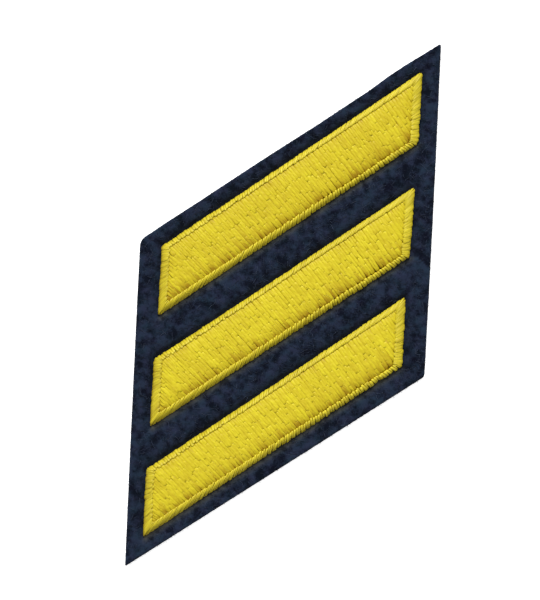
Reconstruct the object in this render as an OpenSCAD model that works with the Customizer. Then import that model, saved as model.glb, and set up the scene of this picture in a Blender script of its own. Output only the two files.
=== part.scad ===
// Service stripe: a slanted felt patch that carries three embroidered bars.
// The patch lies flat. +Z comes out of its embroidered face, and +Y points up the sleeve.
// Lengths are in millimetres and angles in degrees. The origin is under the middle of the patch.

/* [Felt patch] */
// Length of the patch along its bars
felt_along = 50.8; // [50:0.1:56]
// Width of the patch, square to its bars
felt_across = 38.1; // [38:0.1:44]
// Climb of the long edges, from level
felt_rise = 32.8; // [32:0.1:34]
// Lean of the side edges, from upright
felt_lean = 2.8; // [1.5:0.1:5]
// Thickness of the felt
felt_thick = 1.6; // [1.5:0.05:2.4]
// Radius worn onto the felt's cut edges
felt_round = 0.3; // [0.1:0.05:0.4]

/* [Felt relief] */
// Depth of the hollow where the stitches pull the felt down beside a bar
groove_depth = 0.35; // [0:0.05:0.4]
// Distance over which that hollow dies away
groove_reach = 0.9; // [0.4:0.05:1.4]
// Strength of the soft dents in the felt, 1 being as worn
dent_strength = 1; // [0:0.1:1.5]

/* [Embroidered bars] */
// Length of a bar, along its long edges
bar_length = 44.45; // [40:0.05:44.8]
// Width of a bar, square to its long edges
bar_width = 7.94; // [7.4:0.02:8.2]
// Distance from one bar to the next, square to them
bar_pitch = 12.7; // [12.2:0.1:12.9]
// Climb of the bars, from level
bar_rise = 33.5; // [32.5:0.1:34]
// Lean of the bars' short ends, from upright
bar_lean = 3.4; // [2:0.1:5]

/* [Embroidery] */
// Width of the satin border round a bar
border_width = 0.95; // [0.7:0.05:1.2]
// Height of the border's crown above the felt
border_proud = 0.5; // [0.3:0.05:0.9]
// Height of the filled middle above the felt
fill_proud = 0.7; // [0.4:0.05:1]
// Width of the rounded shoulder of the filled middle
fill_shoulder = 1.5; // [0.8:0.1:1.8]
// Height above the felt of the seam between the border and the filled middle
seam_proud = 0.12; // [0:0.02:0.25]
// Felt left under the embroidery
floor_thick = 1; // [0.7:0.05:1]
// Clearance between two neighbouring pieces
gap = 0.03; // [0.02:0.01:0.06]

/* [Hidden] */

NAVY = [0.13, 0.16, 0.22];
GOLD = [0.85, 0.77, 0.19];
PALE_GOLD = [0.87, 0.80, 0.33];

// Corners and edges are counted round from the lower left corner, against the clock,
// so edge 0 is the lower long edge and corner 0 is where it starts
LOWER_EDGE = 0;
RIGHT_EDGE = 1;
UPPER_EDGE = 2;
LEFT_EDGE = 3;

// How far each corner was cut from the true slanted shape, and its radius
CUT_X = 0;
CUT_Y = 1;
CUT_RADIUS = 2;
CORNER_CUT = [
    [ 0.04,  0.02, 0.12],
    [-0.16, -0.58, 0.80],
    [-0.04, -0.02, 0.12],
    [-0.09, -0.50, 1.60]
];

// How far the middle of each edge bows outwards
EDGE_BOW = [0.02, 0.08, 0, 0.05];

// The upper edge was cut by hand: part of the way from right to left, and how far it strays outwards
UPPER_WAVER = [
    [0.00,  0.00],
    [0.05,  0.02],
    [0.12,  0.15],
    [0.17,  0.14],
    [0.24, -0.06],
    [0.42, -0.09],
    [0.48, -0.02],
    [0.60,  0.05],
    [0.80,  0.02],
    [0.92,  0.06],
    [1.00,  0.00]
];

// The three bars from lower to upper: which row each is in, and how it differs from the true one
BAR_ROW = 0;
BAR_ALONG = 1;
BAR_ACROSS = 2;
BAR_TURN = 3;
BAR_LONGER = 4;
BAR_WIDER = 5;
BAR_LEAN = 6;
BARS = [
    [-1, -0.38,  0.08,  0.0, -0.15,  0.00, -0.4],
    [ 0, -0.33, -0.21, -0.2, -0.05, -0.08,  0.5],
    [ 1, -0.04, -0.11,  0.3,  0.15,  0.18,  0.0]
];
LOWER = 0;
MIDDLE = 1;
UPPER = 2;

// Radius of each corner of a bar, as its stitches turn
BAR_RADII = [0.3, 0.9, 0.42, 1.2];
// Least radius that stitches can turn on
TURN_RADIUS = 0.12;

// Soft dents and lumps of the felt: place, direction, half length, half width, height
DENT_X = 0;
DENT_Y = 1;
DENT_TURN = 2;
DENT_LONG = 3;
DENT_WIDE = 4;
DENT_HIGH = 5;
DENTS = [
    [-18.6,  -4.1,   0, 1.8, 0.60, -0.14],
    [-17.8,  -2.6,  10, 2.2, 0.70,  0.08],
    [-15.4,  -2.6,  20, 1.2, 0.50, -0.12],
    [-11.0,   1.6,  45, 1.4, 0.60,  0.08],
    [ -1.4,  -8.6,  20, 1.3, 0.80, -0.12],
    [ -4.2,  -9.6,  35, 1.8, 0.80,  0.08],
    [  5.2,  -4.1,  60, 1.0, 0.60,  0.08],
    [  8.6,  -2.9,  30, 1.6, 0.60, -0.10],
    [ 15.0,   2.2,  10, 1.8, 0.55, -0.14],
    [ 16.4,   3.6,  15, 2.0, 0.70,  0.08],
    [ 18.6,   2.8,   0, 1.2, 0.50, -0.10],
    [  3.4,   9.6,  35, 2.2, 0.80, -0.08],
    [ 10.4,  15.4,  30, 1.6, 0.70,  0.08],
    [-20.6, -17.0,  85, 2.4, 0.70, -0.08],
    [-12.0, -23.0,  35, 2.0, 0.80,  0.06],
    [  2.0, -20.4,  30, 2.6, 0.60, -0.08],
    [ 20.6,  10.5,  80, 2.2, 0.60,  0.08]
];

// Steps round a corner of a bar, and along each of its edges
ARC_STEPS = 3;
EDGE_STEPS = [22, 5, 22, 5];
// Steps over the arch of a border, and over the shoulder of a filled middle
ARCH_STEPS = 6;
SHOULDER_STEPS = 5;

// Where the felt's grid lines fall: over a margin from the outside in, over the gap between
// two bars, under a bar across its width, and under a bar along its length
MARGIN_STEPS = [0, 0.04, 0.12, 0.28, 0.46, 0.62, 0.76, 0.88, 0.98];
GAP_STEPS = [0.01, 0.08, 0.16, 0.26, 0.38, 0.5, 0.62, 0.74, 0.84, 0.92, 0.99];
UNDER_STEPS = [0, 1];
ALONG_COUNT = 17;

// Height of the lower rim of the felt's cut edge, and how far its underside is drawn in
RIM_HEIGHT = 0.25;
RIM_INSET = 0.12;

BAR_GRID_ROWS = 2 * len(BARS) + 1;
bed = floor_thick + gap;
seam = felt_thick + seam_proud;
wall_top = felt_thick - groove_depth + gap;

function direction(angle) = [cos(angle), sin(angle)];
function unit(v) = v / norm(v);
function mix(a, b, t) = a * (1 - t) + b * t;
function lifted(p, z) = [p[0], p[1], z];
function outward(a, b) = unit([b[1] - a[1], a[0] - b[0]]);

// Where the line through a and b meets the line through c and d
function meet(a, b, c, d) = a + (b - a) * cross(c - a, d - c) / cross(b - a, d - c);

// A slanted outline, given its middle, length, width, climb and lean
function slanted(middle, length, width, rise, lean) =
    let (
        along = direction(rise),
        up = direction(90 - lean),
        half_long = along * length / 2,
        half_side = up * width / cross(along, up) / 2
    )
    [
        middle - half_long - half_side,
        middle + half_long - half_side,
        middle + half_long + half_side,
        middle - half_long + half_side
    ];

// An outline with each edge moved inwards
function shrunk(outline, inset) =
    [for (k = [0:3])
        let (
            before = outline[(k + 3) % 4],
            here = outline[k],
            after = outline[(k + 1) % 4],
            in_a = -outward(before, here) * inset,
            in_b = -outward(here, after) * inset
        )
        meet(before + in_a, here + in_a, here + in_b, after + in_b)];

// Distance of a point outside an outline, less than 0 inside it
function distance_out(p, outline) =
    max([for (k = [0:3]) (p - outline[k]) * outward(outline[k], outline[(k + 1) % 4])]);

function bar_outline(i) =
    let (
        row = BARS[i],
        along = direction(bar_rise),
        across = [-along[1], along[0]],
        slip = bar_pitch / tan(90 - bar_rise - bar_lean),
        middle = along * (row[BAR_ROW] * slip + row[BAR_ALONG])
            + across * (row[BAR_ROW] * bar_pitch + row[BAR_ACROSS])
    )
    slanted(
        middle,
        bar_length + row[BAR_LONGER],
        bar_width + row[BAR_WIDER],
        bar_rise + row[BAR_TURN],
        bar_lean + row[BAR_LEAN]
    );

bar_outlines = [for (i = [0:len(BARS) - 1]) bar_outline(i)];
felt_true = slanted([0, 0], felt_along, felt_across, felt_rise, felt_lean);
felt_outline = [for (k = [0:3]) felt_true[k] + [CORNER_CUT[k][CUT_X], CORNER_CUT[k][CUT_Y]]];

// Points round one rounded corner of an outline
function corner_arc(outline, k, radius) =
    let (
        here = outline[k],
        back = unit(outline[(k + 3) % 4] - here),
        on = unit(outline[(k + 1) % 4] - here),
        half = acos(back * on) / 2,
        heart = here + unit(back + on) * radius / sin(half),
        first = here + back * radius / tan(half) - heart,
        start = atan2(first[1], first[0])
    )
    [for (j = [0:ARC_STEPS]) heart + radius * direction(start + (180 - 2 * half) * j / ARC_STEPS)];

// Points round the whole of a bar's outline, moved inwards
function ring(outline, inset) =
    let (
        moved = shrunk(outline, inset),
        arcs = [for (k = [0:3]) corner_arc(moved, k, max(BAR_RADII[k] - inset, TURN_RADIUS))]
    )
    [for (k = [0:3])
        each concat(
            arcs[k],
            [for (j = [1:EDGE_STEPS[k] - 1])
                mix(arcs[k][ARC_STEPS], arcs[(k + 1) % 4][0], j / EDGE_STEPS[k])]
        )];

function level_ring(outline, inset, z) = [for (p = ring(outline, inset)) lifted(p, z)];

// Faces between loops of equal length, each loop joined to the next
function band_faces(n, loops, first = 0) =
    [for (i = [0:loops - 2], j = [0:n - 1])
        let (a = first + i * n, b = a + n, next = (j + 1) % n)
        [a + j, b + j, b + next, a + next]];

// Faces from one middle point to a loop
function cap_faces(n, start, middle, facing_up) =
    [for (j = [0:n - 1])
        let (next = (j + 1) % n)
        facing_up ? [middle, start + next, start + j] : [middle, start + j, start + next]];

// A closed shape skinned over loops, from its underside to its top, with a flat cap at each end
module capped_skin(loops) {
    n = len(loops[0]);
    count = len(loops);
    bottom = n * count;
    middle = [for (loop = [loops[0], loops[count - 1]]) [for (p = loop) 1] * loop / n];
    polyhedron(
        points = concat([for (loop = loops) each loop], middle),
        faces = concat(
            band_faces(n, count),
            cap_faces(n, 0, bottom, false),
            cap_faces(n, n * (count - 1), bottom + 1, true)
        ),
        convexity = 6
    );
}

// A closed ring skinned over loops, where the last loop is joined to the first
module ring_skin(loops) {
    n = len(loops[0]);
    count = len(loops);
    closing = [for (j = [0:n - 1])
        let (a = n * (count - 1), next = (j + 1) % n)
        [a + j, j, next, a + next]];
    polyhedron(
        points = [for (loop = loops) each loop],
        faces = concat(band_faces(n, count), closing),
        convexity = 6
    );
}

// Height of the border's arch, t of the way from its outside to the seam
function border_height(t) =
    let (rise = felt_thick + border_proud - mix(wall_top, seam, 0.5))
    mix(wall_top, seam, t) + rise * sqrt(max(0, 1 - pow(2 * t - 1, 2)));

// Height of a filled middle, at a distance in from its own edge
function fill_height(d) =
    seam + (fill_proud - seam_proud) * pow(sin(90 * min(1, d / fill_shoulder)), 0.85);

// Part of the way over a rounded shape, closer together where it is steep
function eased(j, steps) = (1 - cos(180 * j / steps)) / 2;
function eased_out(j, steps) = 1 - cos(90 * j / steps);

module border(i) {
    outline = bar_outlines[i];
    arch = [for (j = [0:ARCH_STEPS])
        let (t = eased(j, ARCH_STEPS))
        level_ring(outline, t * border_width, border_height(t))];
    ring_skin(concat(
        [level_ring(outline, 0, bed)],
        arch,
        [level_ring(outline, border_width, bed)]
    ));
}

module fill(i) {
    outline = bar_outlines[i];
    edge = border_width + gap;
    shoulder = [for (j = [0:SHOULDER_STEPS])
        let (d = fill_shoulder * eased_out(j, SHOULDER_STEPS))
        level_ring(outline, edge + d, fill_height(d))];
    capped_skin(concat([level_ring(outline, edge, bed)], shoulder));
}

// The felt is laid out on a net: 4 columns at the patch's sides and the bars' ends,
// and 8 rows at its long edges and the bars' long edges
function net_row(r) =
    let (
        bar = floor((r - 1) / 2),
        lower = r % 2 == 1,
        seat = shrunk(bar_outlines[bar], -gap),
        a = seat[lower ? 0 : 3],
        b = seat[lower ? 1 : 2]
    )
    [
        meet(a, b, felt_outline[0], felt_outline[3]),
        a,
        b,
        meet(a, b, felt_outline[1], felt_outline[2])
    ];

function long_edge_row(bar, left, right) =
    let (seat = shrunk(bar_outlines[bar], -gap), a = felt_outline[left], b = felt_outline[right])
    [a, meet(seat[0], seat[3], a, b), meet(seat[1], seat[2], a, b), b];

NET = concat(
    [long_edge_row(LOWER, 0, 1)],
    [for (r = [1:BAR_GRID_ROWS - 1]) net_row(r)],
    [long_edge_row(UPPER, 3, 2)]
);
LAST_ROW = len(NET) - 1;
LAST_COLUMN = len(NET[0]) - 1;

function net_point(r, c) =
    let (i = min(floor(r), LAST_ROW - 1), j = min(floor(c), LAST_COLUMN - 1))
    mix(
        mix(NET[i][j], NET[i][j + 1], c - j),
        mix(NET[i + 1][j], NET[i + 1][j + 1], c - j),
        r - i
    );

// How far a corner's radius moves a point of the felt's edge, at distance s from the corner
function corner_shift(k, s, away, inward) =
    let (
        here = felt_outline[k],
        back = unit(felt_outline[(k + 3) % 4] - here),
        on = unit(felt_outline[(k + 1) % 4] - here),
        turn = (180 - acos(back * on)) / 2,
        radius = CORNER_CUT[k][CUT_RADIUS],
        reach = radius * tan(turn),
        phi = turn * max(0, 1 - s / reach)
    )
    s > reach ? [0, 0] : away * (reach - s - radius * sin(phi)) + inward * radius * (1 - cos(phi));

// How far the cut moves a point of an edge, from the straight line between its corners
function edge_shift(k, p) =
    let (
        a = felt_outline[k],
        b = felt_outline[(k + 1) % 4],
        length = norm(b - a),
        s = norm(p - a),
        t = min(1, s / length),
        along = unit(b - a),
        out = outward(a, b),
        bow = EDGE_BOW[k] * 4 * t * (1 - t),
        waver = k == UPPER_EDGE ? lookup(t, UPPER_WAVER) : 0
    )
    out * (bow + waver)
        + corner_shift(k, s, along, -out)
        + corner_shift((k + 1) % 4, max(0, length - s), -along, -out);

// A point of the felt's plan, after the cut of its edges
function felt_plan(r, c) =
    let (
        low = max(0, 1 - r),
        high = max(0, r - LAST_ROW + 1),
        left = max(0, 1 - c),
        right = max(0, c - LAST_COLUMN + 1),
        on_lower = edge_shift(LOWER_EDGE, net_point(0, c)),
        on_upper = edge_shift(UPPER_EDGE, net_point(LAST_ROW, c)),
        on_left = edge_shift(LEFT_EDGE, net_point(r, 0)),
        on_right = edge_shift(RIGHT_EDGE, net_point(r, LAST_COLUMN)),
        corners = low * left * edge_shift(LOWER_EDGE, felt_outline[0])
            + low * right * edge_shift(RIGHT_EDGE, felt_outline[1])
            + high * right * edge_shift(UPPER_EDGE, felt_outline[2])
            + high * left * edge_shift(LEFT_EDGE, felt_outline[3])
    )
    net_point(r, c) + low * on_lower + high * on_upper + left * on_left + right * on_right - corners;

function dent_at(p, dent) =
    let (
        d = p - [dent[DENT_X], dent[DENT_Y]],
        along = d * direction(dent[DENT_TURN]) / dent[DENT_LONG],
        across = cross(direction(dent[DENT_TURN]), d) / dent[DENT_WIDE]
    )
    dent[DENT_HIGH] * exp(-along * along - across * across);

function felt_height(p) =
    let (
        beside = max(0, min([for (bar = bar_outlines) distance_out(p, bar)])),
        inside = max(0, -distance_out(p, felt_outline)),
        hollow = groove_depth * exp(-pow(beside / groove_reach, 2)),
        worn = max(0, 1 - inside / felt_round),
        free = min(1, beside / groove_reach) * min(1, inside / (2 * felt_round)),
        dents = [for (dent = DENTS) dent_at(p, dent)] * [for (dent = DENTS) 1]
    )
    felt_thick - hollow - felt_round * (1 - sqrt(1 - worn * worn)) + dent_strength * free * dents;

// A grid line lies under a bar when it is on or between that bar's two edges
function under_bar(r, c) =
    let (cell = floor(r), odd = cell % 2 == 1)
    c >= 1 && c <= 2 && r >= 1 && r <= LAST_ROW - 1 && (odd || r == cell);

GRID_ROWS = concat(
    MARGIN_STEPS,
    [for (i = [0:len(BARS) - 1])
        each concat(
            [for (t = UNDER_STEPS) 1 + 2 * i + t],
            i < len(BARS) - 1 ? [for (t = GAP_STEPS) 2 + 2 * i + t] : []
        )],
    [for (j = [len(MARGIN_STEPS) - 1:-1:0]) LAST_ROW - MARGIN_STEPS[j]]
);
GRID_COLUMNS = concat(
    MARGIN_STEPS,
    [for (j = [0:ALONG_COUNT]) 1 + j / ALONG_COUNT],
    [for (j = [len(MARGIN_STEPS) - 1:-1:0]) LAST_COLUMN - MARGIN_STEPS[j]]
);

module felt_backing() {
    rows = len(GRID_ROWS);
    columns = len(GRID_COLUMNS);
    top = [for (r = GRID_ROWS, c = GRID_COLUMNS)
        let (p = felt_plan(r, c))
        lifted(p, under_bar(r, c) ? floor_thick : felt_height(net_point(r, c)))];
    rim = concat(
        [for (c = [0:columns - 1]) c],
        [for (r = [1:rows - 1]) r * columns + columns - 1],
        [for (c = [columns - 2:-1:0]) (rows - 1) * columns + c],
        [for (r = [rows - 2:-1:1]) r * columns]
    );
    n = len(rim);
    first = len(top);
    rim_low = [for (i = rim) lifted([top[i][0], top[i][1]], RIM_HEIGHT)];
    underside = [for (i = rim)
        let (p = [top[i][0], top[i][1]])
        lifted(p - unit(p) * RIM_INSET, 0)];
    surface_faces = [for (r = [0:rows - 2], c = [0:columns - 2])
        let (a = r * columns + c, b = a + columns)
        [a, b, b + 1, a + 1]];
    wall_faces = [for (j = [0:n - 1])
        let (next = (j + 1) % n)
        [first + j, rim[j], rim[next], first + next]];
    color(NAVY)
        polyhedron(
            points = concat(top, rim_low, underside, [[0, 0, 0]]),
            faces = concat(
                surface_faces,
                wall_faces,
                [for (j = [0:n - 1])
                    let (next = (j + 1) % n, low = first + n)
                    [low + j, first + j, first + next, low + next]],
                cap_faces(n, first + n, first + 2 * n, false)
            ),
            convexity = 10
        );
}

module fill_upper() { color(GOLD) fill(UPPER); }
module fill_middle() { color(GOLD) fill(MIDDLE); }
module fill_lower() { color(GOLD) fill(LOWER); }
module border_upper() { color(PALE_GOLD) border(UPPER); }
module border_middle() { color(PALE_GOLD) border(MIDDLE); }
module border_lower() { color(PALE_GOLD) border(LOWER); }

felt_backing();
fill_upper();
fill_middle();
fill_lower();
border_upper();
border_middle();
border_lower();
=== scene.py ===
import math

import bmesh
import bpy
import numpy as np
from mathutils import Matrix, Vector, noise


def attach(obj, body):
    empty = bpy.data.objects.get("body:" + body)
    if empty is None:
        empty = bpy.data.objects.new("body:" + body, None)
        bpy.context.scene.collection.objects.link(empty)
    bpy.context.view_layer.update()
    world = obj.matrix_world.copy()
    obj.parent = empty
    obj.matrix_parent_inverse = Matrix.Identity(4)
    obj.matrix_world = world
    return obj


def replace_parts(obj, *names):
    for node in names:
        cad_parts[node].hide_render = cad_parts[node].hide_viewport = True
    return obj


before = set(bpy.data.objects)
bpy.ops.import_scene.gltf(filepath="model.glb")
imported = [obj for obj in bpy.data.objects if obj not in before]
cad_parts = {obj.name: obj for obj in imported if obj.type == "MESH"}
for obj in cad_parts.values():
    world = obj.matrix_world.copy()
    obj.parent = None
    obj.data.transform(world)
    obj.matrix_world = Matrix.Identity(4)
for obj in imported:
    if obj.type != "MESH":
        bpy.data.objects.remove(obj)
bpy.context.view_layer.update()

# Looks of the service stripe: a slanted patch of navy felt with three gold embroidered bars. It
# lies on a pale floor and is seen from straight above. Sizes are in millimetres and angles in
# degrees, as in the model's source. Sizes become metres where a mesh is made.

MM = 0.001
FAR, TINY = 1e9, 0.01
# For the stitches, the felt's fibres and the loose gold
SEED, FELT_SEED, LOOSE_SEED = 11, 16, 21

# The felt patch
FELT_ALONG = 50.8
FELT_ACROSS = 38.1
FELT_RISE = 32.8
FELT_LEAN = 2.8
FELT_THICK = 1.6
FELT_ROUND = 0.3
GROOVE_DEPTH = 0.35
GROOVE_REACH = 0.9

# How far each corner is cut from the true slanted shape, and its radius, from the lower left one
# against the clock
CORNER_CUTS = np.array([[0.04, 0.02], [-0.16, -0.58], [-0.07, -0.09], [-0.09, -0.5]])
CORNER_RADII = [0.12, 0.8, 0.2, 1.6]
# How far the cloth has spread past its lower, right, upper and left cuts, and how far each bows
FELT_SPREAD = [0.05, 0.03, 0.075, 0.06]
EDGE_BOW = [0.02, 0.08, 0.0, 0.05]
# The upper edge from right to left: part of the way, and how far it strays outwards
UPPER_WAVER = np.array([
    [0.00, 0.00], [0.05, 0.06], [0.12, 0.18], [0.17, 0.17], [0.24, -0.03], [0.42, -0.07],
    [0.48, -0.02], [0.60, 0.05], [0.80, 0.02], [0.92, 0.06], [1.00, 0.00],
])
LOWER, RIGHT, UPPER, LEFT = range(4)
# Layers of smooth noise: the felt's lumps, its cut edges from this one on, its nap, pairs of fill
# threads, and the border's outer ends
LUMP_LAYER, CUT_LAYER, NAP_LAYER, PAIR_LAYER, FOOT_LAYER = 0.0, 3.0, 7.0, 5.0, 9.0
# How rough the cut is: lumps to a millimetre, height, and how near to a corner it fades
CUT_SCALE, CUT_ROUGH, CUT_FADE = 2.2, 0.03, 1.5

# The embroidered bars
BAR_LENGTH = 44.45
BAR_WIDTH = 7.94
BAR_PITCH = 12.7
BAR_RISE = 33.5
BAR_LEAN = 3.4
BAR_RADII = [0.18, 0.9, 0.22, 1.2]
TURN_RADIUS = 0.12
# How each bar differs from the true one
BARS = {
    "lower": dict(row=-1, along=-0.38, across=0.08, turn=0, longer=-0.15, wider=0, lean=-0.4),
    "middle": dict(
        row=0, along=-0.33, across=-0.21, turn=-0.2, longer=-0.05, wider=-0.08, lean=0.5
    ),
    "upper": dict(row=1, along=-0.04, across=-0.11, turn=0.14, longer=0.15, wider=0.18, lean=0),
}

# The embroidery
BORDER_WIDTH = 0.95
BORDER_PROUD = 0.5
FILL_PROUD = 0.7
SEAM_PROUD = 0.12
FLOOR_THICK = 1.0
GAP = 0.03
SEAM = FELT_THICK + SEAM_PROUD
WALL_TOP = FELT_THICK - GROOVE_DEPTH + GAP

# Soft dents and lumps of the felt: x, y, direction, half length, half width, height
DENTS = np.array([
    [-18.6, -4.1, 0, 1.8, 0.6, -0.14],
    [-17.8, -2.6, 10, 2.2, 0.7, 0.08],
    [-15.4, -2.6, 20, 1.2, 0.5, -0.12],
    [-11.0, 1.6, 45, 1.4, 0.6, 0.08],
    [-1.4, -8.6, 20, 1.3, 0.8, -0.12],
    [-4.2, -9.6, 35, 1.8, 0.8, 0.08],
    [5.2, -4.1, 60, 1.0, 0.6, 0.08],
    [8.6, -2.9, 30, 1.6, 0.6, -0.1],
    [15.0, 2.2, 10, 1.8, 0.55, -0.14],
    [16.4, 3.6, 15, 2.0, 0.7, 0.08],
    [18.6, 2.8, 0, 1.2, 0.5, -0.1],
    [3.4, 9.6, 35, 2.2, 0.8, -0.08],
    [10.4, 15.4, 30, 1.6, 0.7, 0.08],
    [-20.6, -17.0, 85, 2.4, 0.7, -0.08],
    [-12.0, -23.0, 35, 2.0, 0.8, 0.06],
    [2.0, -20.4, 30, 2.6, 0.6, -0.08],
    [20.6, 10.5, 80, 2.2, 0.6, 0.08],
])

# How far the felt is pulled in above a bar and piled up below it, and over what distance; how
# far from a bar painted shade darkens it, less so at its ends, and how far below it painted
# light brightens it; its cut edge's upright part and slant; and its lumps, which fade near a
# bar, and nap: how many to a millimetre, and how high
PULLED_IN, PILED_UP, PULLED_REACH = 0.15, 0.10, 0.35
GROOVE_SHADE_REACH, GROOVE_SHADE_BESIDE, LIGHT_BELOW_REACH = 0.4, 0.3, 0.6
RIM_HEIGHT, RIM_INSET = 0.25, 0.12
LUMP_SCALE, LUMP_HIGH, LUMP_FADE, LUMP_LEAST = 0.9, 0.06, 0.5, 0.2
NAP_SCALE, NAP_HIGH = 4.0, 0.02

# Fill threads: how steeply they fall, and how much that grows from one end of a bar to the other;
# their spacing; and their width, which follows the wider gap beside them. Limits are in pitches.
THREAD_FALL, THREAD_FAN = 50.0, 12.0
FILL_PITCH, PITCH_VARIES, PITCH_LIMITS = 0.39, 0.22, (0.5, 1.6)
ROWS_SPAN, SHORTEST_ROW = 1.2, 0.4
FILL_THICK = 0.15
FILL_WIDE, FILL_VARIES, FILL_ROOM = 1.42, 0.05, (0.7, 1.5)
# How much slimmer threads are at their ends, and how far they run on and down under the border
END_SLIM, SLIM_REACH = 0.18, 0.5
TUCK, TUCK_DEPTH = 0.26, 0.15
# The domed form that they make: its slopes at the upper and the lower side, and its squareness
LONG_SHOULDER, FILL_SHOULDER, FILL_SQUARENESS = 1.9, 1.5, 0.85
# Where rows go down through the felt: the first place and its step from row to row are parts of a
# stitch, all of them stray, and the threads dip there and lap over each other
STITCH_LENGTH, SHORTEST_STITCH = 2.5, 0.9
FIRST_HOLE, HOLE_STEP = 0.4, 0.38
FIRST_STRAYS, HOLES_STRAY = 0.5, 0.35
NEEDLE_DIP, FAR_DIP, DIP_REACH = 0.018, 0.4, 0.25
OVERLAP = 0.10
# Neighbours close up in pairs at their lower ends, more in some places, and part at the upper
PAIR_SHIFT, UPPER_SHIFT, PAIR_REACH, PAIR_FALL = 0.20, 0.5, 0.8, 1.5
PAIR_SCALE, PAIR_VARIES, PAIR_MEAN, PAIR_LIMITS = 0.35, 1.6, 0.9, (0.1, 1.8)
# How far sideways rows sway in a number of waves, holes stray, stitches bow and rings wobble,
# and how far rows, stitches and rings are lifted, clear of the seam
WAVES, WAVE_FALL = 6, 0.3
ROW_SWAY, HOLE_SHIFT, STITCH_BOW, RING_WOBBLE = 0.010, 0.025, 0.015, 0.008
ROW_LIFT, STITCH_LIFT, RING_LIFT, LIFT_CLEAR = 0.005, 0.006, 0.004, 0.5
# Shades of rows and stitches and of each bar; painted shade on the lower shoulder, which faces
# away from the light, beside the lower border from left to right and uneven by row; and painted
# shade beside the seam
ROW_TONE, STITCH_TONE = 0.11, 0.09
FILL_SHADES = {"upper": -0.22, "middle": -0.04, "lower": -0.04}
LOWER_SHADES, LOWER_REACH = (0.68, 0.75), 1.1
LOWER_MOST, LOWER_FALL = 2.5, 1.5
SEAM_SHADE, SEAM_REACH = 0.5, 0.55
REACH_VARIES = (0.5, 1.5)

# The border, by side from the lower one against the clock: its width, how far in its threads
# start and how they stray, how far the seam is filled, how much slimmer it is at the bar's right
# end, a thread's width over its spacing, how much paler or darker it is painted on each side as
# the light falls on it, and how much painted shade darkens its threads' outer ends, which slope
# away from the light
BORDER_WIDTHS = np.array([BORDER_WIDTH, 1.30, BORDER_WIDTH, 1.24])
FOOT_INSETS = np.array([0.08, 0.01, 0.16, 0.07])
FOOTS_STRAY = np.array([0.04, 0.045, 0.03, 0.03])
SEAM_FILLED = np.array([0.27, 0.42, 0.41, 0.42])
SLIMMER = np.array([0.18, 0.0, 0.30, 0.0])
BORDER_SPREAD = np.array([1.12, 1.70, 1.26, 1.70])
BORDER_SHADES = np.array([0.12, 0.0, 0.0, -0.10])
OUTER_SHADES = np.array([0.10, 0.25, 0.0, 0.85])
OUTER_REACH = 0.36
# More painted shade on the lower side's outer slope towards its left end
LEFT_SHADE = 0.9
BORDER_TONE = 0.16
SIDE_SHARPNESS = 8
# How the outer ends differ along a side: in at the top of the right side, out at the right of the
# lower one, in towards the right of the upper one but out again at its point, and in at the bottom
# of the left one; and how they wander
TIP_INSET, RIGHT_FOOT, UPPER_TILT, TILT_FALL, LEFT_TILT = 0.11, 0.17, 0.06, 8, 0.09
POINT_RISE, POINT_START, POINT_LENGTH = 0.14, 1.04, 0.06
WANDER_SCALE, FOOT_WANDER = 0.6, 0.07
# Spacing and shape of the threads. Corners have more of them. The lower side's crest lies
# farther in and is straighter at the left.
BORDER_PITCH, PITCH_STRAYS, CORNER_EXTRA = 0.42, 0.07, 0.35
BORDER_THICK = 0.21
BORDER_WIDE, BORDER_VARIES = (0.15, 0.72), 0.06
BORDER_WALL, END_DEPTH = 1.52, 0.15
LOWER_SKEWS, LOWER_FULLNESS = (1.55, 0.95), 0.35
# Threads are set in pairs, their inner ends zigzag, and their heights vary. Pairs of the lower
# side become beads towards its right end.
FEET_PAIRED, BEADS_PAIRED = 0.05, 0.03
ZIGZAG, ZIGZAG_VARIES = 0.05, 0.06
BORDER_LIFTS = (0.018, 0.028)
BEAD_LIFT, BEAD_SLIM, BEAD_TONE = 0.035, 0.08, 0.2

# How far the padding is sunk under the threads
FILL_SINK, BORDER_SINK = 0.06, 0.20

# A thread's cross section, from its underside round, the size of its ends, and its plies' twist
THREAD_RINGS = 10
THREAD_SECTION = np.array([
    [0.0, -1.0], [0.98, 0.17], [0.64, 0.77], [0.0, 1.0], [-0.64, 0.77], [-0.98, 0.17],
])
THREAD_TIPS = 0.7
PLY_COUNT, PLY_LAY = 2, 0.9

# Loose fibres: how many, their lengths and widths, their curl, their fan, and their shades.
# Lengths, widths and gold shades have a middle, spread, least and most, the first two as powers of
# e for lengths.
FIBRE_RINGS = 6
FIBRE_WAY = np.linspace(0, 1, FIBRE_RINGS)
FIBRE_SECTION = np.array([[0.0, -1.0], [0.87, 0.5], [-0.87, 0.5]])
FIBRE_TIPS = 0.3
FELT_FIBRES, EDGE_FIBRES, GOLD_FIBRES = 1700, 900, 150
PLACES_TRIED = 8 * FELT_FIBRES
FELT_LENGTHS = (-0.25, 0.45, 0.3, 2.0)
EDGE_LENGTHS = (-1.5, 0.35, 0.12, 0.5)
GOLD_LENGTHS = (0.1, 0.4, 0.5, 2.4)
FELT_WIDTHS, EDGE_SLIM = (0.046, 0.01, 0.025, 0.07), 0.7
GOLD_WIDTHS = (0.020, 0.004, 0.012, 0.03)
FELT_CURL, EDGE_CURL, GOLD_CURL, CURL_VARIES = 0.8, 1.2, 0.5, 0.25
EDGE_FAN, GOLD_FAN = 0.7, 0.2
FELT_SHADES, GOLD_SHADES = (1.3, 2.2), (0.5, 0.25, 0, 1)

# Steps round a bar's outline: at each corner, and along each side
ARC_STEPS = 12
EDGE_STEPS = [80, 18, 80, 18]

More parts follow.
